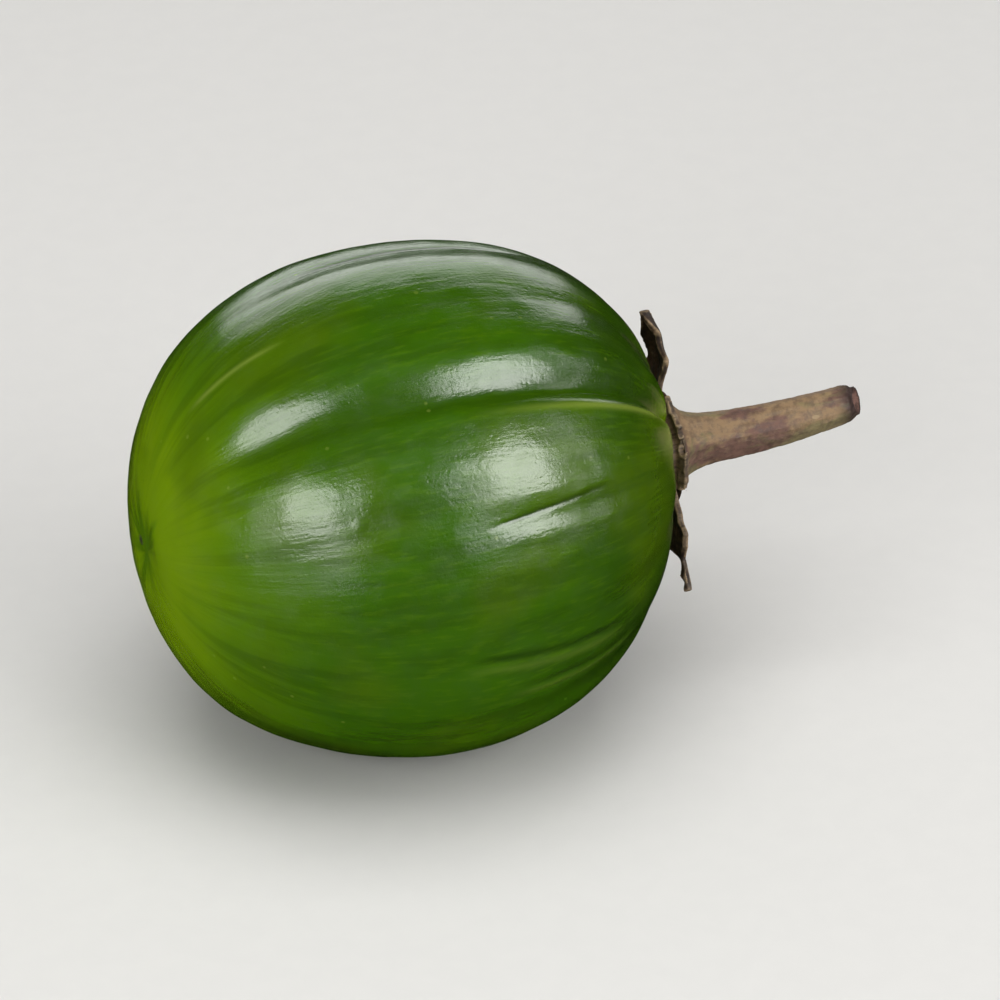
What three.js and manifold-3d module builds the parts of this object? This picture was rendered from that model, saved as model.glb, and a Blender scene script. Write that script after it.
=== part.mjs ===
// A scarlet eggplant of the round, ribbed kind, picked while its skin is still green.
// It lies on a small flat spot with its stem pointing along +X.
// Millimetres, +Z up, with the origin in the middle of the flat spot.
import * as THREE from 'three'
import { mergeVertices } from 'three/addons/utils/BufferGeometryUtils.js'
import Module from 'manifold-3d'

const { PI, sin, cos, exp, acos, atan2, hypot } = Math
const { clamp, smoothstep, lerp } = THREE.MathUtils
const degree = PI / 180

// Driving dimensions of the fruit
const fruitLength = 57.4
const fruitWidth = 54.2
const shoulderFullness = 0.8
const leanSwell = 2.2
const leanReach = 45 * degree
const flatDepth = 0.8
const blossomDipDepth = 0.6
const blossomDipReach = 8 * degree

// Driving dimensions of the calyx and the stem
const dipDepth = 0.5
const dipReach = 13 * degree
const ringWidth = 10.6
const ringThickness = 1.3
const sepalThickness = 0.7
const stemLength = 21.4
const footWidth = 9.8
const footReach = 1.3
const stemWidth = 5.4
const tipWidth = 3.9
const tipSlant = 0.9
const gap = 0.3

// The sides that the stem end leans to and that the cut at its tip faces, as angles
// round the axis
const leanSide = -34 * degree
const cutSide = 56 * degree
const stemOffset = 0.6

// Angles are measured two ways. The polar angle starts at the stem end, on +X.
// The angle around the axis starts at the top and turns towards the front, -Y.
const quarterTurn = PI / 2
const bottomSide = PI

// The ball isn't quite even. It swells a little at some places, and lies flatter
// where the height is below zero.
const swells = [
  { polar: 36, around: -34, height: 0.6, reach: 18 },
  { polar: 85, around: -34, height: -0.35, reach: 30 },
  { polar: 122, around: 146, height: -0.9, reach: 18 },
]

// Ribs run from the stem end to the blossom end and are strongest at the stem end
const ribCount = 13
const ribDepth = 0.1
const ribsFullFrom = 24 * degree
const ribsFadeFrom = 70 * degree
const ribsEnd = 150 * degree
const grooveSpacing = 360 / ribCount
const mainGroove = 37

// The grooves between the ribs, counted round from the main one. A groove lies
// between two polar angles, and near the stem end it may swing to one side.
// The main one has a wide upper side and a steep lower one, and drifts up past the equator.
const grooves = [
  { place: -0.065, depth: 1.4, width: 7.5, lowerWidth: 3.4, from: 5, to: 140, swing: -5, drift: 3.5 },
  { place: 1, depth: 0.3, width: 3.4, from: 48, to: 88, swing: 0 },
  { place: 2, depth: 0.35, width: 5, from: 34, to: 82, swing: -6 },
  { place: 3, depth: 0.35, width: 5, from: 30, to: 92, swing: -8 },
  { place: 4, depth: 0.5, width: 6, from: 12, to: 100, swing: 5 },
  { place: 6, depth: 0.6, width: 6, from: 10, to: 118, swing: -6 },
  { place: 7, depth: 0.35, width: 5, from: 24, to: 90, swing: 4 },
  { place: 8, depth: 0.85, width: 5.5, from: 6, to: 132, swing: -10 },
  { place: 9, depth: 0.3, width: 5, from: 40, to: 96, swing: 0 },
  { place: 10, depth: 0.6, width: 6, from: 10, to: 112, swing: 8 },
  { place: 11, depth: 0.55, width: 6, from: 52, to: 118, swing: 0 },
  { place: 12, depth: 0.2, width: 4, from: 20, to: 60, swing: 6 },
]

const sepalRoot = 3.2
const edgeRaggedness = 0.12
const paperWaves = 0.3

// The dried lobes of the calyx, as the distance from the axis that each reaches,
// how far its tip rises, its middle arches and its edges roll away from the fruit,
// and its half widths from root to tip.
// Two on the front are broken off short, and the lowest has torn to a thread.
const sepals = [
  { around: -28, reach: 14.4, rise: 1.2, arch: 1.1, roll: 0.7, halfWidths: [2.4, 1.9, 2.9, 2.2, 0.7] },
  { around: 30, reach: 6.7, rise: 0, arch: 0, roll: 0.1, halfWidths: [2.6, 2.8, 1.9] },
  { around: 88, reach: 6.4, rise: 0, arch: 0, roll: 0.1, halfWidths: [2.6, 2.6, 2.1] },
  { around: 146, reach: 15.8, rise: 0, arch: 0.4, roll: 0.5, halfWidths: [2.4, 1.9, 2.6, 2.8, 1.9, 0.4, 0.7] },
  { around: 206, reach: 13, rise: -0.8, arch: 0.6, roll: 0.7, halfWidths: [2.6, 3.1, 2.9, 1.9, 0.6] },
  { around: 268, reach: 12, rise: -0.8, arch: 0.5, roll: 0.5, halfWidths: [2.6, 3, 2.6, 1.6, 0.6] },
]

const wasm = await Module()
wasm.setup()

const fruitMaterial = new THREE.MeshStandardMaterial({ color: '#3f7a14', roughness: 0.25, metalness: 0 })
const calyxMaterial = new THREE.MeshStandardMaterial({ color: '#6b5440', roughness: 0.8, metalness: 0 })
const stemMaterial = new THREE.MeshStandardMaterial({ color: '#7d7055', roughness: 0.75, metalness: 0 })

// Moves every vertex of a closed blank shape to the place that a formula gives
function shaped(blank, placeOf) {
  blank.deleteAttribute('normal')
  blank.deleteAttribute('uv')
  const geometry = mergeVertices(blank)
  const corners = geometry.getAttribute('position')
  for (let i = 0; i < corners.count; i++) {
    const place = placeOf(corners.getX(i), corners.getY(i), corners.getZ(i))
    corners.setXYZ(i, place.x, place.y, place.z)
  }
  return geometry
}

function solidFrom(geometry) {
  return new wasm.Manifold(new wasm.Mesh({
    numProp: 3,
    vertProperties: new Float32Array(geometry.getAttribute('position').array),
    triVerts: new Uint32Array(geometry.getIndex().array),
  }))
}

function geometryFrom(solid) {
  const mesh = solid.getMesh()
  const geometry = new THREE.BufferGeometry()
  geometry.setAttribute('position', new THREE.BufferAttribute(mesh.vertProperties, 3))
  geometry.setIndex(new THREE.BufferAttribute(mesh.triVerts, 1))
  return geometry
}

// Lays a shape that was made about an upright Y axis down along +X
function alongX(x, y, z) {
  return new THREE.Vector3(y, z, x)
}

// The point at a distance from the axis, on one side of it, at a height along it
function besideAxis(distance, around, height) {
  return new THREE.Vector3(height, -distance * sin(around), distance * cos(around))
}

// The smallest turn from one angle round the axis to another
function turnFrom(start, end) {
  return atan2(sin(end - start), cos(end - start))
}

// 1 in the middle, falling smoothly to nothing a little past the reach
function bell(value, reach) {
  return exp(-((value / reach) ** 2))
}

// A groove is a valley with a low bank, which lies along its upper side if that is wider
function grooveRelief(groove, polar, around) {
  const { place, depth, width, lowerWidth = width, from, to, swing, drift = 0 } = groove
  const fade = 10 * degree
  const bankHeight = 0.3
  const bankWidth = 2.6 * lowerWidth
  const bankShift = 1.6 * (width - lowerWidth)
  const fromStemEnd = Math.max(0, 1 - polar / quarterTurn)
  const pastEquator = smoothstep(polar, quarterTurn, 125 * degree)
  const middle = mainGroove + place * grooveSpacing - swing * fromStemEnd ** 2 - drift * pastEquator
  const aside = turnFrom(middle * degree, around) / degree
  const evenedLower = lerp(lowerWidth, width, smoothstep(polar, quarterTurn, 120 * degree))
  const start = smoothstep(polar, from * degree - fade / 2, from * degree + fade)
  const end = 1 - smoothstep(polar, to * degree - fade, to * degree + fade)
  const valley = bell(aside, aside < 0 ? width : evenedLower)
  const bank = bankHeight * bell(aside + bankShift, bankWidth)
  return depth * start * end * (bank - valley)
}

function ribRelief(polar, around) {
  const start = smoothstep(polar, 0, ribsFullFrom)
  const end = 1 - smoothstep(polar, ribsFadeFrom, ribsEnd)
  let relief = -ribDepth * start * end * cos(ribCount * (around - mainGroove * degree))
  for (const groove of grooves) relief += grooveRelief(groove, polar, around)
  return relief
}

function swellHeight(swell, polar, around) {
  const here = besideAxis(sin(polar), around, cos(polar))
  const middle = swell.polar * degree
  const away = here.angleTo(besideAxis(sin(middle), swell.around * degree, cos(middle)))
  return swell.height * bell(away, swell.reach * degree)
}

// Distance of the skin from the fruit's centre
function skinRadius(polar, around) {
  const halfLength = fruitLength / 2
  const halfWidth = fruitWidth / 2
  const egg = (halfLength + halfWidth) / 2 + (halfLength - halfWidth) / 2 * cos(2 * polar)
  const fullness = shoulderFullness * sin(2 * polar) ** 2
  const lean = leanSwell * sin(polar) * bell(polar, leanReach) * cos(around - leanSide)
  const stemDip = dipDepth * bell(polar, dipReach)
  const blossomDip = blossomDipDepth * bell(PI - polar, blossomDipReach)
  let radius = egg + fullness + lean - stemDip - blossomDip + ribRelief(polar, around)
  for (const swell of swells) radius += swellHeight(swell, polar, around)
  return radius
}

function skinPoint(polar, around) {
  const radius = skinRadius(polar, around)
  return besideAxis(radius * sin(polar), around, radius * cos(polar))
}

// Height of the fruit's centre over the surface that its flat spot lies on
const centreHeight = skinRadius(quarterTurn, bottomSide) - flatDepth

function fruitGeometry() {
  const ball = shaped(new THREE.SphereGeometry(1, 104, 40), (x, y, z) => {
    return skinPoint(acos(clamp(y, -1, 1)), -atan2(z, x))
  })
  const size = 2 * fruitLength
  const underside = shaped(new THREE.BoxGeometry(size, size, size), (x, y, z) => {
    return new THREE.Vector3(x, y, z - size / 2 - centreHeight)
  })
  return geometryFrom(solidFrom(ball).subtract(solidFrom(underside)))
}

// The ring of the calyx lies just off the floor of the dip at the stem end
const ringBottom = fruitLength / 2 - dipDepth + gap
const ringTop = ringBottom + ringThickness

function ringGeometry() {
  const edge = ringWidth / 2
  const profile = [
    new THREE.Vector2(0, ringBottom),
    new THREE.Vector2(edge - 0.5, ringBottom),
    new THREE.Vector2(edge, ringBottom + 0.3 * ringThickness),
    new THREE.Vector2(edge, ringBottom + 0.7 * ringThickness),
    new THREE.Vector2(edge - 0.4, ringTop),
    new THREE.Vector2(0, ringTop),
  ]
  return shaped(new THREE.LatheGeometry(profile, 36), alongX)
}

// A smooth curve through evenly spaced values, read at a share of its length
function alongList(values, share) {
  const last = values.length - 1
  const before = Math.min(Math.floor(share * last), last - 1)
  return lerp(values[before], values[before + 1], smoothstep(share * last - before, 0, 1))
}

// One lobe is a thin strip from inside the ring to its tip, with ragged edges
function sepalGeometry({ around, reach, rise, arch, roll, halfWidths }) {
  const middleHeight = (ringBottom + ringTop) / 2
  const stepsAlong = 4 * (halfWidths.length - 1)
  const blank = new THREE.BoxGeometry(1, 1, 1, stepsAlong, 6, 1)
  return shaped(blank, (x, y, z) => {
    const share = x + 0.5
    const side = 2 * y
    const ragged = 1 + edgeRaggedness * sin(17 * share + 3 * Math.sign(side) + around)
    const across = side * alongList(halfWidths, share) * ragged
    const curl = rise * share ** 2 + arch * sin(PI * share) + roll * share * side ** 2
    const wave = paperWaves * share * sin(7 * share + around)
    const height = middleHeight + curl + wave + z * sepalThickness
    const distance = lerp(sepalRoot, reach, share)
    const middle = besideAxis(distance, around * degree, height)
    return middle.add(besideAxis(across, around * degree + quarterTurn, 0))
  })
}

function calyxGeometry() {
  let calyx = solidFrom(ringGeometry())
  for (const sepal of sepals) calyx = calyx.add(solidFrom(sepalGeometry(sepal)))
  return geometryFrom(calyx)
}

// Half width of the stem at a distance from its foot, which flares onto the ring
function stemRadius(distance) {
  const share = distance / stemLength
  const body = lerp(stemWidth, tipWidth, share ** 1.5) / 2
  const flare = (footWidth - stemWidth) / 2 * exp(-distance / footReach)
  const tipRounding = 0.5 * smoothstep(share, 0.94, 1)
  return body + flare - tipRounding
}

// The stem droops a little from its foot, crosses the axis and then rises
function stemDroop(distance) {
  const crossing = 14
  const bend = 0.0042
  return bend * distance * (distance - crossing)
}

function stemGeometry() {
  const blank = new THREE.CylinderGeometry(1, 1, 1, 28, 26)
  const fluteDepth = 0.05
  return shaped(blank, (x, y, z) => {
    const share = y + 0.5
    const distance = share * stemLength
    const around = -atan2(z, x)
    const outward = hypot(x, z)
    const fluting = 1 + fluteDepth * cos(5 * around) * (1 - share)
    const radius = stemRadius(distance) * fluting * outward
    const slant = tipSlant * share ** 12 * cos(around - cutSide) * outward
    const centre = besideAxis(stemDroop(distance), leanSide, ringTop + gap + distance - slant)
    return centre.add(besideAxis(radius, around, 0))
  })
}

const fruit = new THREE.Mesh(fruitGeometry(), fruitMaterial)
fruit.name = 'fruit'

const calyx = new THREE.Mesh(calyxGeometry(), calyxMaterial)
calyx.name = 'calyx'

const stem = new THREE.Mesh(stemGeometry(), stemMaterial)
stem.name = 'stem'

// The calyx and the stem sit a little off the fruit's axis
const crown = new THREE.Group()
crown.position.copy(besideAxis(stemOffset, leanSide, 0))
crown.add(calyx, stem)

const group = new THREE.Group()
group.position.z = centreHeight
group.add(fruit, crown)

export default group
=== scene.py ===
# %% [markdown]
# # A round scarlet eggplant, picked green
#
# The real thing is a firm, glossy berry as big as a small apple, cut from its plant with
# a bit of stem. The star between stem and fruit, the calyx, has dried brown. So there are
# three pieces: fruit, calyx and stem. The frame holds each as a plain solid of the true
# size. This lesson makes a finer surface for each of them and paints it.

# %% Load the frame
from math import cos, sin

import bmesh
import bpy
import numpy as np
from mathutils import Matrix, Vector, noise


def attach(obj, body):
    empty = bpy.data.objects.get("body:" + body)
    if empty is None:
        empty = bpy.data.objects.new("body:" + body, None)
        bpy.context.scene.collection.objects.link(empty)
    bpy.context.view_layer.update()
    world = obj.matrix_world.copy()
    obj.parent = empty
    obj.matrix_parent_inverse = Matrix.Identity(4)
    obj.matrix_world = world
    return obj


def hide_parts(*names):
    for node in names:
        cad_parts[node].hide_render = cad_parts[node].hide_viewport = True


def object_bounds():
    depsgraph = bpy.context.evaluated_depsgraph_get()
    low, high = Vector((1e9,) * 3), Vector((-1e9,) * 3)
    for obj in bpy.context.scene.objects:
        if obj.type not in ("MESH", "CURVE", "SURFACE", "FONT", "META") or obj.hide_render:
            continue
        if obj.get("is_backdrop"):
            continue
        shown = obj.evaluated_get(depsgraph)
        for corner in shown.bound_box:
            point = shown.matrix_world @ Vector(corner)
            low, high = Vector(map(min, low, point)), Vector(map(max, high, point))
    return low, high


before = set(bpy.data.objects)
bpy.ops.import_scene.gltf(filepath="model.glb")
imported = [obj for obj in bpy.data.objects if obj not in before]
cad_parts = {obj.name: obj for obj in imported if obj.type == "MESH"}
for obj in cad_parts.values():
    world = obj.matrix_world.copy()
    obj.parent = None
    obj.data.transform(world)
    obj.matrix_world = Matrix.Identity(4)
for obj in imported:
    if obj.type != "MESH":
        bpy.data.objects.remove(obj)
cad_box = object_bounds()
mm = 0.001
degree = np.pi / 180
print("frame pieces:", sorted(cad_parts))

# %% [markdown]
# ## Measures
#
# The fruit is drawn about its own centre. A point on it is named by two angles, as on a
# globe laid on its side. The polar angle starts at the stem end, on +X. The angle around
# the axis starts at the top and turns towards the front, -Y. These are the same measures
# that the frame's solids were made from, so the fine pieces fit them by themselves.

# %% Driving measures
fruit_length = 57.4 * mm
fruit_width = 54.2 * mm
shoulder_fullness = 0.8 * mm
lean_swell = 2.2 * mm
lean_reach = 45 * degree
lean_side = -34 * degree
flat_depth = 0.8 * mm
stem_dip_depth = 0.5 * mm
stem_dip_reach = 13 * degree
blossom_dip_depth = 0.6 * mm
blossom_dip_reach = 8 * degree
equator = np.pi / 2
blossom_end = np.pi
underside = np.pi


def beside_axis(distance, around, height):
    """Points at a distance from the fruit's axis, on one side of it, at a height along it."""
    parts = np.broadcast_arrays(height, -distance * np.sin(around), distance * np.cos(around))
    return np.stack(parts, axis=-1)


def smoothstep(low, high, value):
    share = np.clip((value - low) / (high - low), 0, 1)
    return share * share * (3 - 2 * share)


def bell(value, reach):
    """1 in the middle, falling smoothly to nothing a little past reach."""
    return np.exp(-((value / reach) ** 2))


def turn_from(start, end):
    """The smallest turn from one angle round the axis to another."""
    return np.arctan2(np.sin(end - start), np.cos(end - start))


print(f"fruit {fruit_length / mm:.1f} mm long and {fruit_width / mm:.1f} mm wide")

# %% [markdown]
# ## The form of the fruit
#
# A fruit that grows freely is an egg of turning, but a real one is never even. Thirteen
# shallow ribs run from end to end, and between them lie grooves of unlike depth. One could
# sculpt this by hand. A formula is chosen instead, because the same numbers can then shape
# the frame's solid, this fine mesh and the colour that follows the grooves.

# %% Swells and grooves
rib_count = 13
rib_depth = 0.1 * mm
groove_spacing = 360 / rib_count
main_groove = 37

# Polar angle, angle around, height and reach in degrees. Below zero the ball lies flatter.
swells = [
    (36, -34, 0.6 * mm, 18),
    (85, -34, -0.35 * mm, 30),
    (122, 146, -0.9 * mm, 18),
]

# Place counted from the main groove, depth, width of its upper and its lower side, polar
# start and end, and how far it swings aside near the stem end and past the equator.
# Angles are in degrees.
grooves = [
    (-0.065, 1.4 * mm, 7.5, 3.4, 5, 140, -5, 3.5),
    (1, 0.3 * mm, 3.4, 3.4, 48, 88, 0, 0),
    (2, 0.35 * mm, 5, 5, 34, 82, -6, 0),
    (3, 0.35 * mm, 5, 5, 30, 92, -8, 0),
    (4, 0.5 * mm, 6, 6, 12, 100, 5, 0),
    (6, 0.6 * mm, 6, 6, 10, 118, -6, 0),
    (7, 0.35 * mm, 5, 5, 24, 90, 4, 0),
    (8, 0.85 * mm, 5.5, 5.5, 6, 132, -10, 0),
    (9, 0.3 * mm, 5, 5, 40, 96, 0, 0),
    (10, 0.6 * mm, 6, 6, 10, 112, 8, 0),
    (11, 0.55 * mm, 6, 6, 52, 118, 0, 0),
    (12, 0.2 * mm, 4, 4, 20, 60, 6, 0),
]


def groove_middle(groove, polar):
    """The angle around the axis where a groove is deepest."""
    place, _, _, _, _, _, swing, drift = groove
    from_stem_end = np.maximum(0, 1 - polar / equator)
    past_equator = smoothstep(equator, 125 * degree, polar)
    middle = main_groove + place * groove_spacing - swing * from_stem_end**2
    return (middle - drift * past_equator) * degree


def groove_strength(groove, polar):
    first, last = groove[4:6]
    fade = 10 * degree
    start = smoothstep(first * degree - fade / 2, first * degree + fade, polar)
    end = 1 - smoothstep(last * degree - fade, last * degree + fade, polar)
    return start * end


def groove_relief(groove, polar, around):
    """A cut with a low bank along its upper side, or along both if it is an even one."""
    _, depth, upper_width, lower_width = groove[:4]
    aside = turn_from(groove_middle(groove, polar), around) / degree
    uneven = upper_width - lower_width
    evened_lower = lower_width + uneven * smoothstep(equator, 120 * degree, polar)
    width = np.where(aside < 0, upper_width, evened_lower)
    bank = 0.3 * bell(aside + 1.6 * uneven, 2.6 * lower_width)
    return depth * groove_strength(groove, polar) * (bank - bell(aside, width))


def rib_relief(polar, around):
    start = smoothstep(0, 24 * degree, polar)
    end = 1 - smoothstep(70 * degree, 150 * degree, polar)
    waves = np.cos(rib_count * (around - main_groove * degree))
    relief = -rib_depth * start * end * waves
    for groove in grooves:
        relief = relief + groove_relief(groove, polar, around)
    return relief


def angle_between(polar, around, other_polar, other_around):
    here = beside_axis(np.sin(polar), around, np.cos(polar))
    there = beside_axis(np.sin(other_polar), other_around, np.cos(other_polar))
    return np.arccos(np.clip(here @ there, -1, 1))


def skin_radius(polar, around):
    """Distance of the skin from the fruit's centre."""
    mean = (fruit_length + fruit_width) / 4
    egg = mean + (fruit_length - fruit_width) / 4 * np.cos(2 * polar)
    fullness = shoulder_fullness * np.sin(2 * polar) ** 2
    lean = lean_swell * np.sin(polar) * bell(polar, lean_reach) * np.cos(around - lean_side)
    stem_dip = stem_dip_depth * bell(polar, stem_dip_reach)
    blossom_dip = blossom_dip_depth * bell(blossom_end - polar, blossom_dip_reach)
    radius = egg + fullness + lean - stem_dip - blossom_dip + rib_relief(polar, around)
    for swell_polar, swell_around, height, reach in swells:
        away = angle_between(polar, around, swell_polar * degree, swell_around * degree)
        radius = radius + height * bell(away, reach * degree)
    return radius


centre_height = float(skin_radius(np.array([equator]), np.array([underside]))[0]) - flat_depth
print(f"the fruit's centre is {centre_height / mm:.2f} mm above the surface")

# %% [markdown]
# ## The small marks of the skin
#
# Close up, the skin has a few marks of its own: a sharp crease on the front shoulder, thin
# healed lines, small warts and the scar where the flower fell off. They could be painted, but
# a crease catches light along its lip, so the deep ones are pressed into the mesh. What is
# only colour is kept as a number on each corner, for the finish to read, and so is the depth
# of the creases, which the finish darkens as painted shade.

# %% Creases, warts and healed lines
# Polar and around at both ends in degrees, depth, width, and height of the raised lip
creases = [
    (54, 60.8, 90, 65.6, 0.11 * mm, 0.3 * mm, 0.01 * mm),
    (48, 101.8, 98, 96.2, 0.12 * mm, 0.5 * mm, 0.08 * mm),
    (44, 109, 86, 107, 0.1 * mm, 0.45 * mm, 0.07 * mm),
    (50, -22, 112, -19.5, 0.14 * mm, 0.4 * mm, 0.05 * mm),
    (66, 250, 98, 256, 0.16 * mm, 0.4 * mm, 0.06 * mm),
    (40, 196, 80, 203, 0.12 * mm, 0.4 * mm, 0.06 * mm),
]

# Polar, around, height and reach of small bumps on the skin
warts = [
    (65, 61.6, 0.08 * mm, 0.4 * mm),
    (115.6, 59.3, 0.09 * mm, 0.5 * mm),
    (126.2, 43.1, 0.05 * mm, 0.35 * mm),
    (130.4, 51.7, 0.04 * mm, 0.35 * mm),
    (118.9, 50.8, 0.04 * mm, 0.35 * mm),
    (110.1, 76.8, 0.05 * mm, 0.35 * mm),
    (84, 212, 0.08 * mm, 0.5 * mm),
    (58, 288, 0.06 * mm, 0.4 * mm),
]


def beside_crease(crease, polar, around):
    """How far a point lies along a crease, from 0 to 1, and how far to the side of it."""
    first_polar, first_around, last_polar, last_around = (a * degree for a in crease[:4])
    along = (polar - first_polar) / (last_polar - first_polar)
    middle = first_around + (last_around - first_around) * np.clip(along, -0.2, 1.2)
    aside = turn_from(middle, around) * np.sin(polar) * fruit_width / 2
    return along, aside


def crease_strength(crease, polar, around):
    along, aside = beside_crease(crease, polar, around)
    return smoothstep(0, 0.3, along) * (1 - smoothstep(0.75, 1, along)), aside


def crease_relief(polar, around):
    relief = np.zeros_like(polar)
    for crease in creases:
        depth, width, lip = crease[4:]
        strength, aside = crease_strength(crease, polar, around)
        cut = depth * bell(aside, width)
        raised = lip * bell(aside - 1.7 * width, 1.1 * width)
        relief += strength * (raised - cut)
    return relief


def wart_relief(polar, around):
    """Each wart is a low ring with a dimple in it."""
    relief = np.zeros_like(polar)
    for wart_polar, wart_around, height, reach in warts:
        away = angle_between(polar, around, wart_polar * degree, wart_around * degree)
        distance = away * fruit_width / 2
        relief += height * (1.6 * bell(distance, reach) - 1.1 * bell(distance, reach / 2))
    return relief


def noise_at(points, seed):
    """Smooth noise from -1 to 1 at each point."""
    moved = points + np.array([seed * 17.3, seed * -9.1, seed * 5.7])
    return np.array([noise.noise(point) for point in moved.tolist()])


def uneven_relief(polar, around):
    """Slight waves of the skin, stretched from end to end, and the faintest dents."""
    lines = beside_axis(1.0, around, polar / np.pi)
    broad = noise_at(lines * np.array([3, 5, 5]), 1)
    narrow = noise_at(lines * np.array([6, 16, 16]), 2)
    dents = noise_at(beside_axis(np.sin(polar), around, np.cos(polar)) * 9, 3)
    away_from_ends = np.sin(polar)
    return away_from_ends * (0.12 * broad + 0.035 * narrow) * mm + 0.05 * mm * dents


print(f"{len(grooves)} grooves, {len(creases)} creases and {len(warts)} warts")

# %% [markdown]
# ## The mesh of the fruit
#
# A globe's net has the right layout for a ribbed fruit: its lines run from pole to pole, as
# the ribs do. An icosphere would be more even, but ribs would cut across its triangles. A
# ready UV sphere takes long to make at this fineness. So a flat grid is rolled into a tube,
# its ends are drawn shut, and corners that meet are merged. The lines stand closer together
# where the main groove and the sharp crease need them.

# %% Shape the fruit
around_steps = 450
polar_steps = 214

# Depths of groove and crease at which the shade painted into them is full
full_furrow_shade = 1.0 * mm
full_crease_shade = 0.12 * mm

# Side in degrees, how many more lines stand there, and how wide the crowd is in degrees
crowds = [(63, 1.8, 8), (37, 1.0, 9), (4, 0.5, 8), (-20, 0.6, 8)]


def crowded(around):
    """Turns evenly spaced lines into ones that stand closer at the crowded sides."""
    fine = np.linspace(-np.pi, np.pi, 4001)
    density = np.ones_like(fine)
    for side, more, reach in crowds:
        density += more * bell(turn_from(side * degree, fine), reach * degree)
    share = np.concatenate([[0], np.cumsum((density[1:] + density[:-1]) / 2)])
    return np.interp((around + np.pi) / (2 * np.pi), share / share[-1], fine)


def rolled_ball():
    """A flat grid, rolled into a ball of radius 1 and closed."""
    ball = bmesh.new()
    bmesh.ops.create_grid(ball, x_segments=around_steps, y_segments=polar_steps, size=1)
    for corner in ball.verts:
        around = np.pi * corner.co.x
        polar = equator * (1 - corner.co.y)
        distance = sin(polar)
        corner.co = (distance * cos(around), distance * sin(around), cos(polar))
    bmesh.ops.remove_doubles(ball, verts=ball.verts, dist=1e-5)
    bmesh.ops.recalc_face_normals(ball, faces=ball.faces)
    return ball


def mesh_object(name, shape):
    """Turns a bmesh into an object at the origin, and frees it."""
    mesh = bpy.data.meshes.new(name)
    shape.to_mesh(mesh)
    shape.free()
    made = bpy.data.objects.new(name, mesh)
    bpy.context.scene.collection.objects.link(made)
    return made


def corners_of(piece):
    flat = np.empty(len(piece.data.vertices) * 3)
    piece.data.vertices.foreach_get("co", flat)
    return flat.reshape(-1, 3)


def place_corners(piece, points):
    piece.data.vertices.foreach_set("co", np.ascontiguousarray(points, dtype=np.float32).ravel())
    piece.data.update()


def keep_number(piece, name, values):
    """Keeps a number on each corner, which a finish reads by its name."""
    attribute = piece.data.attributes.new(name, "FLOAT", "POINT")
    attribute.data.foreach_set("value", values.astype(np.float32))


def rest_on_surface(height):
    """Presses what would lie below the surface flat, with a soft edge."""
    softness = 0.25 * mm
    over = height + centre_height
    return -centre_height + (over + np.sqrt(over**2 + softness**2)) / 2


def make_fruit():
    fruit = mesh_object("green_fruit", rolled_ball())
    unit = corners_of(fruit)
    polar = np.arccos(np.clip(unit[:, 2], -1, 1))
    around = crowded(np.arctan2(unit[:, 1], unit[:, 0]))
    creased = crease_relief(polar, around)
    radius = skin_radius(polar, around) + creased + wart_relief(polar, around)
    radius = radius + uneven_relief(polar, around)
    points = beside_axis(radius * np.sin(polar), around, radius * np.cos(polar))
    points[:, 2] = rest_on_surface(points[:, 2])
    place_corners(fruit, points + [0, 0, centre_height])
    fruit.data.shade_smooth()
    # The depth of the grooves is kept so that the finish can paint shade into them.
    keep_number(fruit, "furrow_shade", np.clip(-rib_relief(polar, around) / full_furrow_shade, 0, 1))
    # The depth of the creases is kept for the shade painted into them.
    keep_number(fruit, "crease", np.clip(-creased / full_crease_shade, 0, 1))
    keep_number(fruit, "polar_share", polar / np.pi)
    return fruit, polar, around


fruit, fruit_polar, fruit_around = make_fruit()
print(f"fruit: {len(fruit.data.polygons)} faces, {fruit.dimensions / mm}")

# %% [markdown]
# ## Pale lines, a painted highlight, a pale ring and the scar of the flower
#
# Healed scratches are paler than the skin round them. So is the skin by the calyx. The lower
# lip of the main groove gets a painted highlight, a pale line where it catches the light. The
# flower leaves a small dark scar at the end away from the stem. They lie flat, so they are
# numbers for the finish.

# %% Paint the marks as numbers
# Polar and around at both ends in degrees, the line's width, and how pale it is
pale_lines = [
    (118, 7.4, 146, 4, 0.3 * mm, 0.6),
    (50, 104.4, 98, 98.8, 0.5 * mm, 0.22),
    (46, 111.5, 86, 109.5, 0.5 * mm, 0.22),
    (30, 262, 74, 258, 0.3 * mm, 0.5),
    (100, 168, 128, 164, 0.3 * mm, 0.5),
]
lip_highlight_offset = 5.2 * degree
scar_polar = 176.4 * degree
scar_around = -83 * degree


def lip_highlight_share(groove, first, last):
    """A painted highlight along the lower lip of a groove, between two polar angles."""
    lip_place = groove_middle(groove, fruit_polar) + lip_highlight_offset
    aside = turn_from(lip_place, fruit_around) * np.sin(fruit_polar) * fruit_width / 2
    start = smoothstep((first - 12) * degree, first * degree, fruit_polar)
    end = 1 - smoothstep(last * degree, (last + 40) * degree, fruit_polar)
    return start * end * bell(aside, 0.4 * mm)


def pale_line_and_highlight_share():
    # The main groove's lower lip gets a painted highlight. The healed lines are the skin's own.
    pale = 0.8 * lip_highlight_share(grooves[0], 22, 50)
    for *ends, width, paleness in pale_lines:
        strength, aside = crease_strength(ends, fruit_polar, fruit_around)
        pale = np.maximum(pale, paleness * strength * bell(aside, width))
    return pale


def flower_scar_share():
    """The scar lies a little to the side of the very end."""
    away = angle_between(fruit_polar, fruit_around, scar_polar, scar_around)
    return 1 - smoothstep(0.25 * mm, 0.65 * mm, away * fruit_width / 2)


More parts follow.
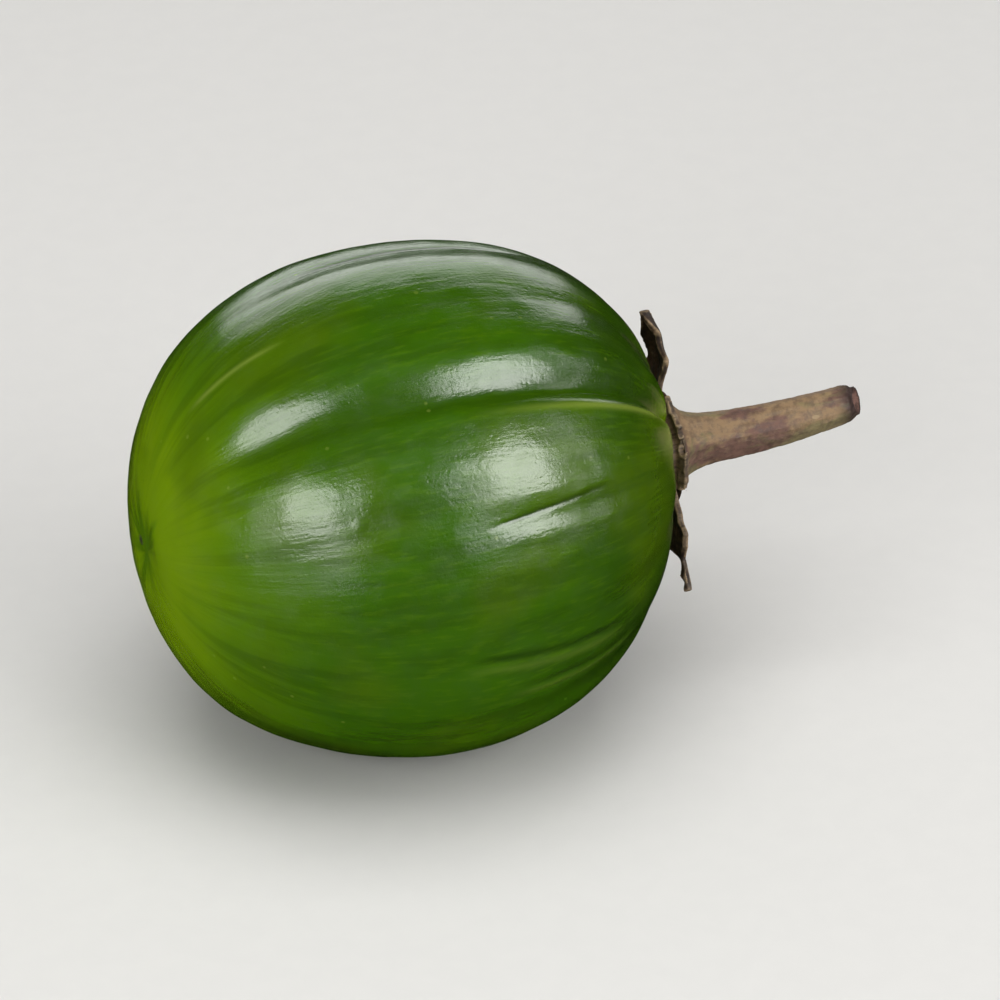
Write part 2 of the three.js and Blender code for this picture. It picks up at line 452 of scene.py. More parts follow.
def unripe_rim_share():
    """A paler ring by the calyx, widest just below the main groove."""
    below_groove = bell(turn_from(50 * degree, fruit_around), 24 * degree)
    reach = (17 + 11 * below_groove) * degree
    strength = 0.55 + 0.45 * bell(turn_from(62 * degree, fruit_around), 50 * degree)
    return strength * (1 - smoothstep(0.7 * reach, 1.35 * reach, fruit_polar))


keep_number(fruit, "pale", pale_line_and_highlight_share())
keep_number(fruit, "flower_scar", flower_scar_share())
keep_number(fruit, "unripe_rim", unripe_rim_share())
print("kept the marks:", [a.name for a in fruit.data.attributes if a.data_type == "FLOAT"])

# %% [markdown]
# ## The calyx
#
# The calyx was the flower's green cup. Now it is a dry ring with six papery lobes, some
# curled, two broken short and one torn to a thread. Each lobe starts as a flat grid, which
# is bent along the lobe, rolled at its edges and given thickness. They overlap the ring, and
# a voxel remesh melts all of it into one grown piece, with no seams to hide.

# %% Measures of the calyx
ring_width = 10.6 * mm
ring_thickness = 1.3 * mm
ring_gap = 0.3 * mm
ring_bottom = fruit_length / 2 - stem_dip_depth + ring_gap
ring_top = ring_bottom + ring_thickness
stem_offset = 0.6 * mm
crown_place = beside_axis(stem_offset, lean_side, 0) + [0, 0, centre_height]
sepal_root = 3.2 * mm
paper_thickness = 0.62 * mm

# Side in degrees, reach from the axis, rise of the tip, arch of the middle, roll of the
# edges, twist in degrees, and half widths in millimetres from root to tip
sepals = [
    (-28, 14.4 * mm, 1.2 * mm, 1.2 * mm, -1.1 * mm, -8, [2.4, 1.7, 2.9, 2.2, 0.35]),
    (30, 6.7 * mm, 0, 0, 0.1 * mm, 0, [2.6, 2.8, 1.9]),
    (88, 6.4 * mm, 0, 0, 0.1 * mm, 0, [2.6, 2.6, 2.1]),
    (146, 15.8 * mm, 0, 0.2 * mm, -0.5 * mm, 9, [2.4, 1.9, 2.1, 2.8, 2.9, 2.3, 0.4, 0.14, 0.55]),
    (206, 13 * mm, -0.8 * mm, 0.6 * mm, 0.7 * mm, 10, [2.6, 3.1, 2.9, 1.9, 0.6]),
    (268, 12 * mm, -0.8 * mm, 0.5 * mm, 0.5 * mm, -12, [2.6, 3, 2.6, 1.6, 0.6]),
]

# %% Shape the ring and the lobes


def along_list(values, share):
    """A smooth curve through evenly spaced values, read at shares of its length."""
    last = len(values) - 1
    before = np.minimum(np.floor(share * last), last - 1).astype(int)
    values = np.array(values, float)
    blend = smoothstep(0, 1, share * last - before)
    return values[before] + (values[before + 1] - values[before]) * blend


def move_corners(corners, points):
    for corner, point in zip(corners, points):
        corner.co = point


def add_sepal(shape, sepal):
    """Bends a flat grid into one papery lobe, then gives it thickness."""
    side_degrees, reach, rise, arch, roll, twist, half_widths = sepal
    faces_before = len(shape.faces)
    grid = bmesh.ops.create_grid(shape, x_segments=60, y_segments=30, size=1)["verts"]
    flat = np.array([corner.co[:] for corner in grid])
    share = (flat[:, 0] + 1) / 2
    side = flat[:, 1]
    ragged = 1 + 0.12 * np.sin(17 * share + 3 * np.sign(side) + side_degrees)
    nibbled = 1 + 0.1 * noise_at(np.stack([share * 14, np.sign(side) * 3, 0 * share], 1), 4)
    across = side * along_list(half_widths, share) * mm * ragged * nibbled
    middle = (ring_bottom + ring_top) / 2 + rise * share**2 + arch * np.sin(np.pi * share)
    middle = middle + 0.3 * mm * share * np.sin(7 * share + side_degrees)
    crumple = 0.22 * mm * noise_at(np.stack([share * 5, side * 2.5, 0 * share + 2], 1), side_degrees)
    rib = 0.16 * mm * bell(side, 0.12) * (1 - share)
    curl = roll * share * side**2 + share * crumple + rib
    turned = twist * degree * share
    sideways = across * np.cos(turned) - curl * np.sin(turned)
    height = middle - across * np.sin(turned) + curl * np.cos(turned)
    around = side_degrees * degree
    points = beside_axis(sepal_root + (reach - sepal_root) * share, around, height)
    points = points + beside_axis(sideways, around + np.pi / 2, 0 * share)
    move_corners(grid, points)
    faces = list(shape.faces)[faces_before:]
    bmesh.ops.recalc_face_normals(shape, faces=faces)
    bmesh.ops.solidify(shape, geom=faces, thickness=paper_thickness)


def add_ring(shape):
    """A low cone lying along +X, sunk until it touches the skin, with a rounded edge."""
    sunk = 0.55 * mm
    depth = ring_thickness + sunk
    edge_radius = ring_width / 2
    rounding = 0.4 * mm
    bmesh.ops.create_cone(
        shape,
        cap_ends=True,
        segments=96,
        radius1=edge_radius,
        radius2=edge_radius - rounding,
        depth=depth,
    )
    rims = [edge for edge in shape.edges if abs(edge.verts[0].co.z - edge.verts[1].co.z) < depth / 2]
    bmesh.ops.bevel(
        shape, geom=rims, offset=rounding, segments=3, profile=0.5, material=-1, affect="EDGES"
    )
    corners = list(shape.verts)
    upright = np.array([corner.co[:] for corner in corners])
    middle = ring_top - depth / 2
    around = np.arctan2(upright[:, 1], upright[:, 0])
    distance = np.hypot(upright[:, 0], upright[:, 1])
    distance = distance * (1 + 0.03 * np.sin(6 * around) + 0.02 * np.sin(11 * around + 1))
    move_corners(corners, beside_axis(distance, around, middle + upright[:, 2]))


def melted(piece, voxel):
    """Melts overlapping shells into one closed skin."""
    remesh = piece.modifiers.new("melt", "REMESH")
    remesh.mode = "VOXEL"
    remesh.voxel_size = voxel
    ready = piece.evaluated_get(bpy.context.evaluated_depsgraph_get())
    mesh = bpy.data.meshes.new_from_object(ready)
    piece.modifiers.clear()
    piece.data = mesh


def soften(piece, times):
    shape = bmesh.new()
    shape.from_mesh(piece.data)
    for _ in range(times):
        bmesh.ops.smooth_vert(
            shape, verts=shape.verts, factor=0.5, use_axis_x=True, use_axis_y=True, use_axis_z=True
        )
    bmesh.ops.recalc_face_normals(shape, faces=shape.faces)
    shape.to_mesh(piece.data)
    shape.free()


def standing_out(piece, rounds):
    """How far each corner stands out of the mean of those round it."""
    points = corners_of(piece)
    ends = np.empty(len(piece.data.edges) * 2, np.int32)
    piece.data.edges.foreach_get("vertices", ends)
    first, second = ends[0::2], ends[1::2]
    neighbours = np.bincount(ends, minlength=len(points))[:, None]
    mean = points
    for _ in range(rounds):
        total = np.zeros_like(points)
        np.add.at(total, first, mean[second])
        np.add.at(total, second, mean[first])
        mean = total / neighbours
    normals = np.array([corner.normal[:] for corner in piece.data.vertices])
    return ((points - mean) * normals).sum(axis=1)


def make_calyx():
    shape = bmesh.new()
    add_ring(shape)
    for sepal in sepals:
        add_sepal(shape, sepal)
    calyx = mesh_object("dried_calyx", shape)
    melted(calyx, 0.15 * mm)
    soften(calyx, 2)
    points = corners_of(calyx)
    distance = np.hypot(points[:, 1], points[:, 2])
    around = np.arctan2(-points[:, 1], points[:, 2])
    fibres = noise_at(beside_axis(9, around, distance / (3 * mm)), 5)
    lumps = noise_at(points / (1.1 * mm), 6)
    normals = np.array([corner.normal[:] for corner in calyx.data.vertices])
    points = points + normals * ((0.07 * fibres + 0.06 * lumps) * mm)[:, None]
    place_corners(calyx, points + crown_place)
    calyx.data.shade_smooth()
    keep_number(calyx, "from_axis", distance / (12 * mm))
    keep_number(calyx, "raised_rim", smoothstep(0.03 * mm, 0.11 * mm, standing_out(calyx, 8)))
    return calyx


calyx = make_calyx()
print(f"calyx: {len(calyx.data.polygons)} faces, {calyx.dimensions / mm}")

# %% [markdown]
# ## The stem
#
# A cut stem is a bent, tapering rod that flares where it grips the calyx. It could be a
# curve with a bevel, but its foot and its cut end need their own rings. So a cylinder is
# sliced into rings, its ends are inset, and every ring is moved onto the bent centreline.
# Bark is real relief here: long folds, low lumps and small pits.

# %% Measures of the stem
stem_length = 21.4 * mm
foot_width = 9.8 * mm
foot_reach = 1.3 * mm
stem_width = 5.4 * mm
tip_width = 3.9 * mm
tip_slant = 0.9 * mm
cut_side = 56 * degree
droop_crossing = 14 * mm
droop_bend = 0.0042 / mm
stem_foot = ring_top - 0.15 * mm
stem_reach = ring_top + ring_gap + stem_length - stem_foot


def stem_radius(distance):
    share = distance / stem_length
    body = (stem_width + (tip_width - stem_width) * np.clip(share, 0, None) ** 1.5) / 2
    flare = (foot_width - stem_width) / 2 * np.exp(-distance / foot_reach)
    return body + flare - 0.5 * mm * smoothstep(0.94, 1, share)


def stem_droop(distance):
    return droop_bend * distance * (distance - droop_crossing)


# %% Shape the stem
stem_sides = 150
stem_rings = 230
cap_rings = 9
cap_ring_width = 0.1
cap_share = 0.9999


def sliced_cylinder():
    """A unit cylinder from 0 to 1, sliced into rings, with rings on both its ends too."""
    shape = bmesh.new()
    bmesh.ops.create_cone(shape, cap_ends=True, segments=stem_sides, radius1=1, radius2=1, depth=1)
    bmesh.ops.translate(shape, verts=shape.verts, vec=(0, 0, 0.5))
    upright = [edge for edge in shape.edges if abs(edge.verts[0].co.z - edge.verts[1].co.z) > 0.5]
    bmesh.ops.subdivide_edges(shape, edges=upright, cuts=stem_rings, use_grid_fill=True)
    for _ in range(cap_rings):
        caps = [face for face in shape.faces if len(face.verts) == stem_sides]
        bmesh.ops.inset_individual(shape, faces=caps, thickness=cap_ring_width)
    caps = [face for face in shape.faces if len(face.verts) == stem_sides]
    bmesh.ops.poke(shape, faces=caps)
    return shape


def on_tube(along, around, radius):
    """Places on a tube, so that noise read there closes all the way round."""
    return np.stack([along, radius * np.cos(around), radius * np.sin(around)], 1)


def bark_relief(distance, around):
    """Long folds, low lumps and small pits of the bark."""
    lines = beside_axis(1.0, around, 0 * around)
    folds = noise_at(lines * 2.6 + beside_axis(0, around, distance / (9 * mm)), 7)
    ridges = noise_at(lines * 7 + beside_axis(0, around, distance / (5 * mm)), 8)
    lumps = noise_at(on_tube(distance / (1.3 * mm), around, 2.2), 9)
    grain = noise_at(on_tube(distance / (0.45 * mm), around, 6), 10)
    to_tip = 1 + 1.6 * smoothstep(0.9 * stem_length, 0.97 * stem_length, distance)
    return (0.13 * folds + 0.06 * ridges + to_tip * (0.08 * lumps + 0.035 * grain)) * mm


def make_stem():
    stem = mesh_object("cut_stem", sliced_cylinder())
    unit = corners_of(stem)
    share = unit[:, 2]
    outward = np.hypot(unit[:, 0], unit[:, 1])
    around = np.arctan2(unit[:, 1], unit[:, 0])
    distance = share * stem_reach - (ring_top + ring_gap - stem_foot)
    fluting = 1 + 0.05 * np.cos(5 * around) * (1 - share)
    radius = stem_radius(distance) * fluting + bark_relief(distance, around)
    slant = tip_slant * share**12 * np.cos(around - cut_side) * outward
    is_cut = (share > cap_share) & (outward < 0.97)
    rough_cut = 0.12 * mm * noise_at(unit * 3.5, 11) - 0.3 * mm * bell(outward - 0.45, 0.3)
    height = stem_foot + share * stem_reach - slant + np.where(is_cut, rough_cut, 0)
    points = beside_axis(stem_droop(distance), lean_side, height)
    points = points + beside_axis(radius * outward, around, 0 * share)
    place_corners(stem, points + crown_place)
    stem.data.shade_smooth()
    keep_number(stem, "stem_share", share)
    keep_number(stem, "cut_face", np.where(share > cap_share, 1 - smoothstep(0.7, 0.98, outward), 0))
    return stem


stem = make_stem()
print(f"stem: {len(stem.data.polygons)} faces, {stem.dimensions / mm}")

# %% [markdown]
# ## Helpers for the finishes
#
# A finish in Blender is a small graph: patterns are read at a place, turned into numbers
# and colours, and end in one shader. These helpers each add one kind of node, so the
# recipes below read from top to bottom.

# %% Node helpers


class Recipe:
    """A material with one shader, and short names for the nodes that feed it."""

    def __init__(self, name):
        self.material = bpy.data.materials.new(name)
        self.material.use_nodes = True
        self.nodes = self.material.node_tree.nodes
        self.links = self.material.node_tree.links
        self.nodes.clear()
        self.shader = self.nodes.new("ShaderNodeBsdfPrincipled")
        output = self.nodes.new("ShaderNodeOutputMaterial")
        self.links.new(self.shader.outputs["BSDF"], output.inputs["Surface"])

    def feed(self, socket, value):
        if isinstance(value, bpy.types.NodeSocket):
            self.links.new(value, socket)
        else:
            socket.default_value = value

    def place(self, offset=(0, 0, 0)):
        """Object coordinates, in metres, counted from a point."""
        source = self.nodes.new("ShaderNodeTexCoord").outputs["Object"]
        mapping = self.nodes.new("ShaderNodeMapping")
        mapping.inputs["Location"].default_value = offset
        self.links.new(source, mapping.inputs["Vector"])
        return mapping.outputs["Vector"]

    def number(self, name):
        """A number kept on the mesh's corners."""
        node = self.nodes.new("ShaderNodeAttribute")
        node.attribute_name = name
        return node.outputs["Fac"]

    def maths(self, operation, first, second=0.0):
        node = self.nodes.new("ShaderNodeMath")
        node.operation = operation
        self.feed(node.inputs[0], first)
        self.feed(node.inputs[1], second)
        return node.outputs["Value"]

    def distance(self, first, second):
        """The distance that two steps at a right angle lead away."""
        first_square = self.maths("MULTIPLY", first, first)
        second_square = self.maths("MULTIPLY", second, second)
        return self.maths("SQRT", self.maths("ADD", first_square, second_square))

    def direction(self, vector):
        """The same vector, drawn to length 1."""
        node = self.nodes.new("ShaderNodeVectorMath")
        node.operation = "NORMALIZE"
        self.links.new(vector, node.inputs[0])
        return node.outputs["Vector"]

    def split(self, vector):
        node = self.nodes.new("ShaderNodeSeparateXYZ")
        self.links.new(vector, node.inputs["Vector"])
        return node.outputs

    def join(self, x, y, z):
        node = self.nodes.new("ShaderNodeCombineXYZ")
        for socket, value in zip(node.inputs, (x, y, z)):
            self.feed(socket, value)
        return node.outputs["Vector"]

    def noise(self, vector, scale, detail=3.0, roughness=0.5, distortion=0.0):
        node = self.nodes.new("ShaderNodeTexNoise")
        self.links.new(vector, node.inputs["Vector"])
        node.inputs["Scale"].default_value = scale
        node.inputs["Detail"].default_value = detail
        node.inputs["Roughness"].default_value = roughness
        node.inputs["Distortion"].default_value = distortion
        return node.outputs["Fac"]

    def dots(self, vector, scale):
        """Distance to the nearest of many scattered points."""
        node = self.nodes.new("ShaderNodeTexVoronoi")
        self.links.new(vector, node.inputs["Vector"])
        node.inputs["Scale"].default_value = scale
        return node.outputs["Distance"]

    def stretch(self, value, low, high, to_low=0.0, to_high=1.0):
        """Maps low..high smoothly onto another range."""
        node = self.nodes.new("ShaderNodeMapRange")
        node.interpolation_type = "SMOOTHSTEP"
        self.feed(node.inputs["Value"], value)
        node.inputs["From Min"].default_value = low
        node.inputs["From Max"].default_value = high
        node.inputs["To Min"].default_value = to_low
        node.inputs["To Max"].default_value = to_high
        return node.outputs["Result"]

    def ramp(self, value, stops):
        node = self.nodes.new("ShaderNodeValToRGB")
        self.links.new(value, node.inputs["Fac"])
        elements = node.color_ramp.elements
        while len(elements) < len(stops):
            elements.new(0.5)
        for element, (position, colour) in zip(elements, stops):
            element.position = position
            element.color = (*colour, 1)
        return node.outputs["Color"]

    def mix(self, amount, first, second):
        node = self.nodes.new("ShaderNodeMix")
        node.data_type = "RGBA"
        self.feed(node.inputs["Factor"], amount)
        for socket, value in ((node.inputs["A"], first), (node.inputs["B"], second)):
            sockets = [s for s in node.inputs if s.name == socket.name and s.type == "RGBA"]
            self.feed(sockets[0], value if isinstance(value, bpy.types.NodeSocket) else (*value, 1))
        return [s for s in node.outputs if s.type == "RGBA"][0]

    def bump(self, height, distance, strength, under=None):
        node = self.nodes.new("ShaderNodeBump")
        node.inputs["Distance"].default_value = distance
        node.inputs["Strength"].default_value = strength
        self.links.new(height, node.inputs["Height"])
        if under is not None:
            self.links.new(under, node.inputs["Normal"])
        return node.outputs["Normal"]


# %% [markdown]
# ## The finish of the skin
#
# The skin is a thin waxy layer over green flesh. Its colour runs in streaks from end to
# end, darker at the stem and yellow-green at the other end. A pattern wrapped on plain
# coordinates would ignore that, so the streaks are read on a circle round the axis and
# stretched along it. The gloss is broken by a fine grain, which is a bump, because each
# grain is far smaller than a face of the mesh.

# %% Green skin
deep_green = (0.020, 0.056, 0.001)
mid_green = (0.034, 0.104, 0.001)
warm_green = (0.062, 0.120, 0.001)
leaf_green = (0.076, 0.170, 0.001)
yellow_green = (0.150, 0.262, 0.001)
painted_crease_shade = (0.008, 0.022, 0.001)
pale_line_and_highlight_green = (0.30, 0.38, 0.06)
scar_brown = (0.020, 0.012, 0.008)


def skin_finish():
    skin = Recipe("green_skin")
    place = skin.place((0, 0, -centre_height))
    x, y, z = skin.split(skin.direction(place))
    ring = skin.maths("MAXIMUM", skin.distance(y, z), 0.02)
    side_y = skin.maths("DIVIDE", y, ring)
    side_z = skin.maths("DIVIDE", z, ring)
    streaks_at = skin.join(skin.maths("MULTIPLY", x, 0.2), side_y, side_z)
    along = skin.number("polar_share")

    broad = skin.noise(streaks_at, 2.2, 2, 0.5, 0.3)
    streaks = skin.noise(streaks_at, 11, 3, 0.55, 0.2)
    hairs = skin.noise(streaks_at, 46, 3, 0.6)
    patches = skin.noise(place, 60, 3, 0.5)
    off_ends = skin.stretch(ring, 0.15, 0.75)

    wander = skin.maths("MULTIPLY", skin.maths("SUBTRACT", broad, 0.5), 0.16)
    gradient_at = skin.maths("ADD", along, wander)
    body = skin.ramp(gradient_at, [
        (0.0, yellow_green),
        (0.07, leaf_green),
        (0.14, deep_green),
        (0.26, deep_green),
        (0.40, mid_green),
        (0.66, mid_green),
        (0.78, leaf_green),
        (0.88, yellow_green),
        (0.95, yellow_green),
        (0.985, leaf_green),
    ])
    body = skin.mix(skin.stretch(patches, 0.42, 0.66, 0.0, 0.75), body, warm_green)
    darker = skin.maths("MULTIPLY", skin.stretch(streaks, 0.36, 0.56, 0.4, 0.0), off_ends)
    body = skin.mix(darker, body, deep_green)
    hair_light = skin.maths("MULTIPLY", skin.stretch(hairs, 0.48, 0.70, 0.0, 0.28), off_ends)
    body = skin.mix(hair_light, body, leaf_green)
    # Painted shade: the grooves are darker the deeper they are.
    body = skin.mix(skin.maths("MULTIPLY", skin.number("furrow_shade"), 0.5), body, deep_green)
    # Painted shade: the creases are darkened by their depth.
    body = skin.mix(skin.maths("MULTIPLY", skin.number("crease"), 0.7), body, painted_crease_shade)
    body = skin.mix(skin.maths("MULTIPLY", skin.number("unripe_rim"), 0.85), body, yellow_green)
    # Paler healed lines, and the painted highlight along the main groove's lip.
    body = skin.mix(skin.maths("MULTIPLY", skin.number("pale"), 0.6), body, pale_line_and_highlight_green)

    specks = skin.stretch(skin.dots(place, 400), 0.06, 0.12, 1.0, 0.0)
    few = skin.stretch(skin.noise(place, 190, 2), 0.56, 0.64, 0.0, 0.2)
    body = skin.mix(skin.maths("MULTIPLY", specks, few), body, pale_line_and_highlight_green)
    body = skin.mix(skin.number("flower_scar"), body, scar_brown)
    skin.feed(skin.shader.inputs["Base Color"], body)

    gloss = skin.stretch(skin.noise(place, 420, 3, 0.6), 0.35, 0.7, 0.17, 0.26)
    gloss = skin.maths("ADD", gloss, skin.maths("MULTIPLY", skin.number("flower_scar"), 0.4))
    skin.feed(skin.shader.inputs["Roughness"], gloss)

    lines = skin.bump(streaks, 0.10 * mm, 0.5)
    fine_lines = skin.bump(hairs, 0.05 * mm, 0.6, lines)
    grain = skin.bump(skin.noise(place, 1900, 3, 0.65), 0.045 * mm, 0.6, fine_lines)
    pits = skin.stretch(skin.dots(place, 1300), 0.0, 0.32)
    skin.feed(skin.shader.inputs["Normal"], skin.bump(pits, 0.02 * mm, 0.5, grain))

    skin.shader.inputs["Specular IOR Level"].default_value = 0.5
    skin.shader.inputs["Subsurface Weight"].default_value = 0.05
    skin.shader.inputs["Subsurface Radius"].default_value = (0.6, 1.0, 0.2)
    skin.shader.inputs["Subsurface Scale"].default_value = 2 * mm
    return skin.material


# %% [markdown]
# ## The finish of the dried calyx
#
# Dry sepals are like thin brown leather: almost black in patches and along fibres, tan on
# the ring and lighter on rims that stand out, with fibres that run out from the ring. The
# fibres are noise on a circle again, stretched outwards. A rim is where the mesh stands out
# of its surroundings, which was measured above and kept as a number.

# %% Brown paper
near_black_brown = (0.010, 0.005, 0.003)
paper_brown = (0.060, 0.030, 0.014)
ring_brown = (0.210, 0.140, 0.078)
rim_tan = (0.330, 0.230, 0.130)


def calyx_finish():
    paper = Recipe("dry_paper")
    place = paper.place(tuple(-crown_place))
    x, y, z = paper.split(place)
    ring = paper.maths("MAXIMUM", paper.distance(y, z), 0.2 * mm)
    outwards = paper.join(
        paper.maths("MULTIPLY", ring, 90), paper.maths("DIVIDE", y, ring), paper.maths("DIVIDE", z, ring)
    )
    fibres = paper.noise(outwards, 14, 4, 0.65, 0.3)
    blotches = paper.noise(place, 420, 4, 0.6)
    fine = paper.noise(place, 2200, 3, 0.6)
    colour = paper.ramp(blotches, [(0.36, near_black_brown), (0.56, paper_brown), (0.74, ring_brown)])
    to_ring = paper.stretch(paper.number("from_axis"), 0.42, 0.60, 0.9, 0.0)
    colour = paper.mix(to_ring, colour, ring_brown)
    # Lighter where the mesh stands out of its surroundings.
    colour = paper.mix(paper.number("raised_rim"), colour, rim_tan)
    colour = paper.mix(paper.stretch(fibres, 0.36, 0.58, 0.6, 0.0), colour, near_black_brown)
    paper.feed(paper.shader.inputs["Base Color"], colour)
    paper.feed(paper.shader.inputs["Roughness"], paper.stretch(fine, 0.3, 0.7, 0.62, 0.9))
    ridges = paper.bump(fibres, 0.25 * mm, 0.6)
    paper.feed(paper.shader.inputs["Normal"], paper.bump(fine, 0.08 * mm, 0.6, ridges))
    paper.shader.inputs["Specular IOR Level"].default_value = 0.3
    return paper.material


# %% [markdown]
# ## The finish of the stem
#
# The bark is a mottle of grey-tan, olive and purple-brown, with pale pores. Each colour is
# laid in with its own noise, drawn out along the stem. The cut end is lighter inside its
# dark rim.

# %% Mottled bark
bark_tan = (0.265, 0.170, 0.088)
bark_olive = (0.165, 0.155, 0.060)
bark_purple = (0.150, 0.072, 0.058)
pore_cream = (0.360, 0.260, 0.140)
speckle_dark = (0.040, 0.024, 0.018)
foot_dark = (0.040, 0.022, 0.020)
rim_dark = (0.020, 0.008, 0.006)
cut_brown = (0.200, 0.100, 0.075)


def stem_finish():
    bark = Recipe("mottled_bark")
    place = bark.place(tuple(-crown_place))
    x, y, z = bark.split(place)
    drawn_out = bark.join(bark.maths("MULTIPLY", x, 0.5), y, z)
    along = bark.number("stem_share")
    purple = bark.stretch(bark.noise(drawn_out, 330, 5, 0.6), 0.46, 0.56)
    olive = bark.stretch(bark.noise(drawn_out, 260, 5, 0.6, 0.4), 0.50, 0.60)
    mottle = bark.noise(place, 950, 5, 0.7)
    grain = bark.noise(bark.join(bark.maths("MULTIPLY", x, 0.3), y, z), 2300, 3, 0.6)
    colour = bark.mix(bark.maths("MULTIPLY", purple, 0.85), bark_tan, bark_purple)
    colour = bark.mix(bark.maths("MULTIPLY", olive, 0.65), colour, bark_olive)
    colour = bark.mix(bark.stretch(mottle, 0.36, 0.60, 0.5, 0.0), colour, speckle_dark)
    colour = bark.mix(bark.stretch(grain, 0.54, 0.72, 0.0, 0.25), colour, pore_cream)
    pores = bark.stretch(bark.dots(drawn_out, 700), 0.10, 0.2, 1.0, 0.0)
    some = bark.stretch(bark.noise(place, 500, 2), 0.55, 0.61, 0.0, 0.7)
    colour = bark.mix(bark.maths("MULTIPLY", pores, some), colour, pore_cream)
    frayed = bark.maths("ADD", along, bark.stretch(mottle, 0.35, 0.65, -0.02, 0.02))
    end = bark.stretch(frayed, 0.86, 0.975, 0.0, 0.85)
    colour = bark.mix(end, colour, rim_dark)
    cut = bark.maths("MULTIPLY", bark.number("cut_face"), bark.stretch(mottle, 0.38, 0.56, 0.1, 0.9))
    colour = bark.mix(cut, colour, cut_brown)
    foot = bark.stretch(along, 0.0, 0.05, 0.55, 0.0)
    colour = bark.mix(foot, colour, foot_dark)
    bark.feed(bark.shader.inputs["Base Color"], colour)
    bark.feed(bark.shader.inputs["Roughness"], bark.stretch(mottle, 0.3, 0.7, 0.55, 0.85))
    rough = bark.bump(mottle, 0.12 * mm, 0.6)
    bark.feed(bark.shader.inputs["Normal"], bark.bump(grain, 0.06 * mm, 0.6, rough))
    bark.shader.inputs["Specular IOR Level"].default_value = 0.2
    return bark.material


# %% [markdown]
# ## Put the pieces on the frame
#
# Each fine piece rides on the frame's only body, stands for one plain solid and gets its
# finish.

# %% Pieces and their finishes
for piece, node, slot, finish in (
    (fruit, "fruit", "skin", skin_finish()),
    (calyx, "calyx", "dried_calyx", calyx_finish()),
    (stem, "stem", "stem_bark", stem_finish()),
):
    piece.data.materials.clear()
    piece.data.materials.append(finish)
    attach(piece, "root")
    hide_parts(node)
    print(piece.name, "stands for", node)

# %% [markdown]
# ## The stage
#
# The fruit lies on a plain pale floor. Two large soft lamps stand left and right of the
# camera, as their two broad reflections on the skin show. Each has a brighter core. A dim
# oval lamp behind gives the grey gleam along the top edge, and one overhead only throws
# light. The gleam of a lamp and the light it throws are set apart here, by two lamps in one
# place. The skin can then shine as it should while the floor is not burnt out. Floor and sky
# could be reflected too, but they would veil the skin, so the gloss doesn't see them and
# the green stays deep between the gleams.

# %% Camera directions
view_azimuth = -19 * degree
view_elevation = 32.8 * degree
sin_a, cos_a = np.sin(view_azimuth), np.cos(view_azimuth)
sin_e, cos_e = np.sin(view_elevation), np.cos(view_elevation)
view_right = Vector((cos_a, sin_a, 0))
view_back = Vector((sin_a * cos_e, -cos_a * cos_e, sin_e))
view_up = view_back.cross(view_right)
fruit_centre = Vector((0, 0, centre_height))

# %% Floor, lamps and sky
lamp_distance = 0.8
floor_half_width = 3
floor_white = (0.74, 0.73, 0.705)
floor_grey = (0.5, 0.5, 0.5)
sky_strength = 0.3


def floor_finish():
    recipe = Recipe("pale_floor")
    grain = recipe.noise(recipe.place(), 300, 3)
    shade = recipe.stretch(grain, 0.3, 0.7, 0.0, 0.04)
    recipe.feed(recipe.shader.inputs["Base Color"], recipe.mix(shade, floor_white, floor_grey))
    recipe.shader.inputs["Roughness"].default_value = 0.7
    recipe.shader.inputs["Specular IOR Level"].default_value = 0.0
    return recipe.material


def make_floor():
    shape = bmesh.new()
    bmesh.ops.create_grid(shape, x_segments=1, y_segments=1, size=floor_half_width)
    floor = mesh_object("floor", shape)
    floor.data.materials.append(floor_finish())
    floor.visible_glossy = False
    floor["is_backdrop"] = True


def soft_lamp(name, direction, size, watts, gleams, outline="RECTANGLE"):
    """A wide lamp that faces the fruit. One that gleams is seen in gloss and lights nothing."""
    lamp = bpy.data.objects.new(name, bpy.data.lights.new(name, "AREA"))
    bpy.context.scene.collection.objects.link(lamp)
    lamp.location = fruit_centre + direction * lamp_distance
    lamp.rotation_euler = direction.to_track_quat("Z", "Y").to_euler()
    lamp.data.shape = outline
    lamp.data.size, lamp.data.size_y = size
    lamp.data.energy = watts
    lamp.visible_camera = False
    lamp.visible_diffuse = not gleams
    lamp.visible_glossy = gleams


def seen_from_camera(right, up, back):
    return (view_right * right + view_up * up + view_back * back).normalized()


make_floor()
left = seen_from_camera(-0.54, -0.14, 0.82)
right = seen_from_camera(0.79, 0.15, 0.61)
left_core = seen_from_camera(-0.48, -0.03, 0.87)
right_core = seen_from_camera(0.70, 0.17, 0.69)
wall = Vector((0.28, 0.92, 0.30)).normalized()
overhead = Vector((-0.05, -0.15, 1)).normalized()

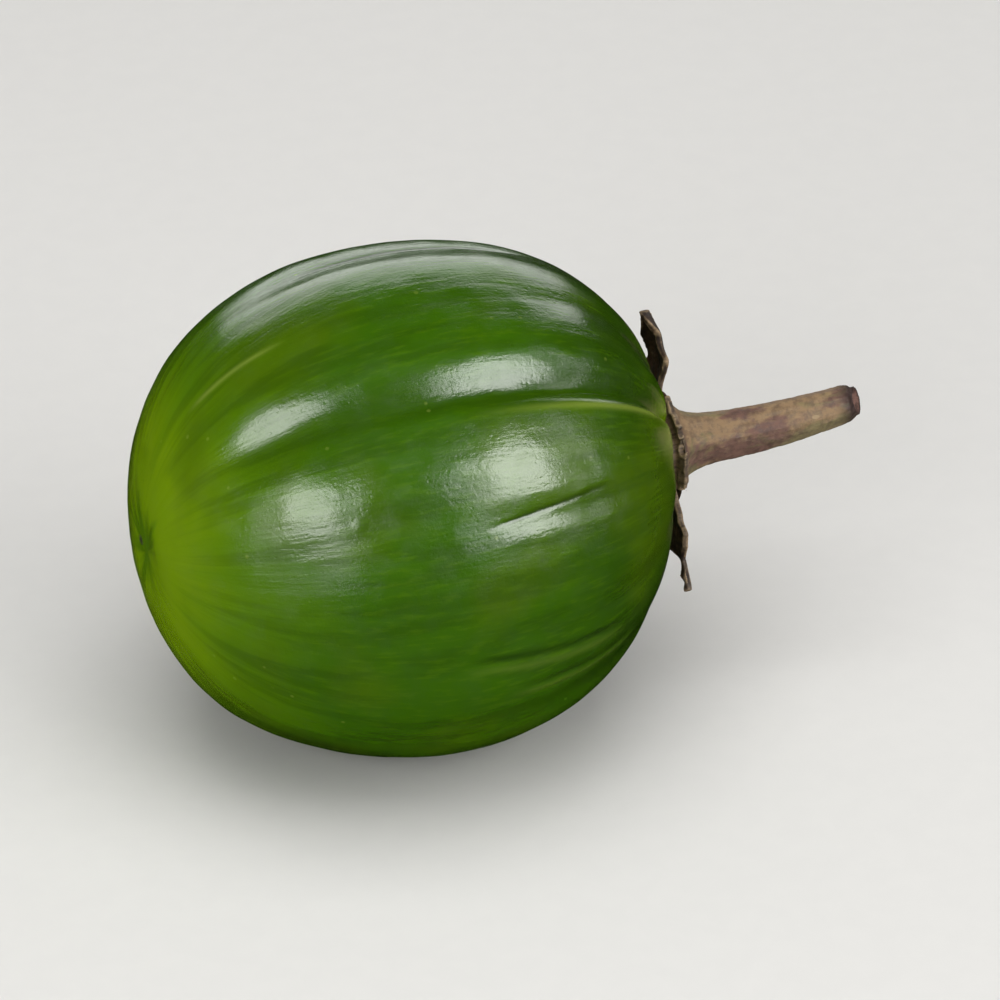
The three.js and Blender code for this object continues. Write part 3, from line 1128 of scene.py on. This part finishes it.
soft_lamp("left_light", left, (0.62, 0.62), 3.0, gleams=False)
soft_lamp("right_light", right, (0.66, 0.62), 3.0, gleams=False)
soft_lamp("overhead_light", overhead, (0.7, 0.7), 4.0, gleams=False)
soft_lamp("left_gleam", left, (0.68, 0.64), 8.5, gleams=True)
soft_lamp("right_gleam", right, (0.74, 0.62), 10.5, gleams=True)
soft_lamp("left_gleam_core", left_core, (0.42, 0.36), 4.0, gleams=True)
soft_lamp("right_gleam_core", right_core, (0.36, 0.42), 5.0, gleams=True)
soft_lamp("wall_gleam", wall, (0.98, 0.54), 2.8, gleams=True, outline="ELLIPSE")

sky = bpy.data.worlds.new("pale_sky")
sky.use_nodes = True
background = sky.node_tree.nodes["Background"]
background.inputs["Color"].default_value = (1, 1, 1, 1)
background.inputs["Strength"].default_value = sky_strength
sky.cycles_visibility.glossy = False
bpy.context.scene.world = sky
bpy.context.scene.view_settings.view_transform = "Standard"
print("stage ready")

# %% [markdown]
# ## The camera
#
# It stands where the photographer's stood: 0.81 m from the fruit, 33 degrees above the
# table, a little towards the blossom end. The long lens frames a field of 105 mm, and the
# middle of the picture lies 10 mm to the right of the fruit's centre, so that the stem has
# room.

# %% Place the camera
camera_distance = 813 * mm
field_width = 104.8 * mm
aim_right = 10.2 * mm
sensor_width = 36

camera = bpy.data.objects.new("camera", bpy.data.cameras.new("camera"))
bpy.context.scene.collection.objects.link(camera)
bpy.context.scene.camera = camera
aim = fruit_centre + view_right * aim_right
camera.location = fruit_centre + view_back * camera_distance
looking = camera.location - aim
camera.rotation_mode = "QUATERNION"
camera.rotation_quaternion = looking.to_track_quat("Z", "Y")
camera.data.sensor_width = sensor_width
camera.data.lens = sensor_width * looking.length / field_width
camera.data.clip_start = 10 * mm
print(f"lens {camera.data.lens:.0f} mm at {looking.length:.3f} m")

# %% [markdown]
# ## Sizes of the frame and the fine pieces
#
# The fine pieces may not outgrow the frame, so both boxes are printed side by side.

# %% Sizes
visual_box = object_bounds()
for name, (low, high) in (("frame", cad_box), ("fine pieces", visual_box)):
    print(name, [round(v / mm, 2) for v in low], [round(v / mm, 2) for v in high])
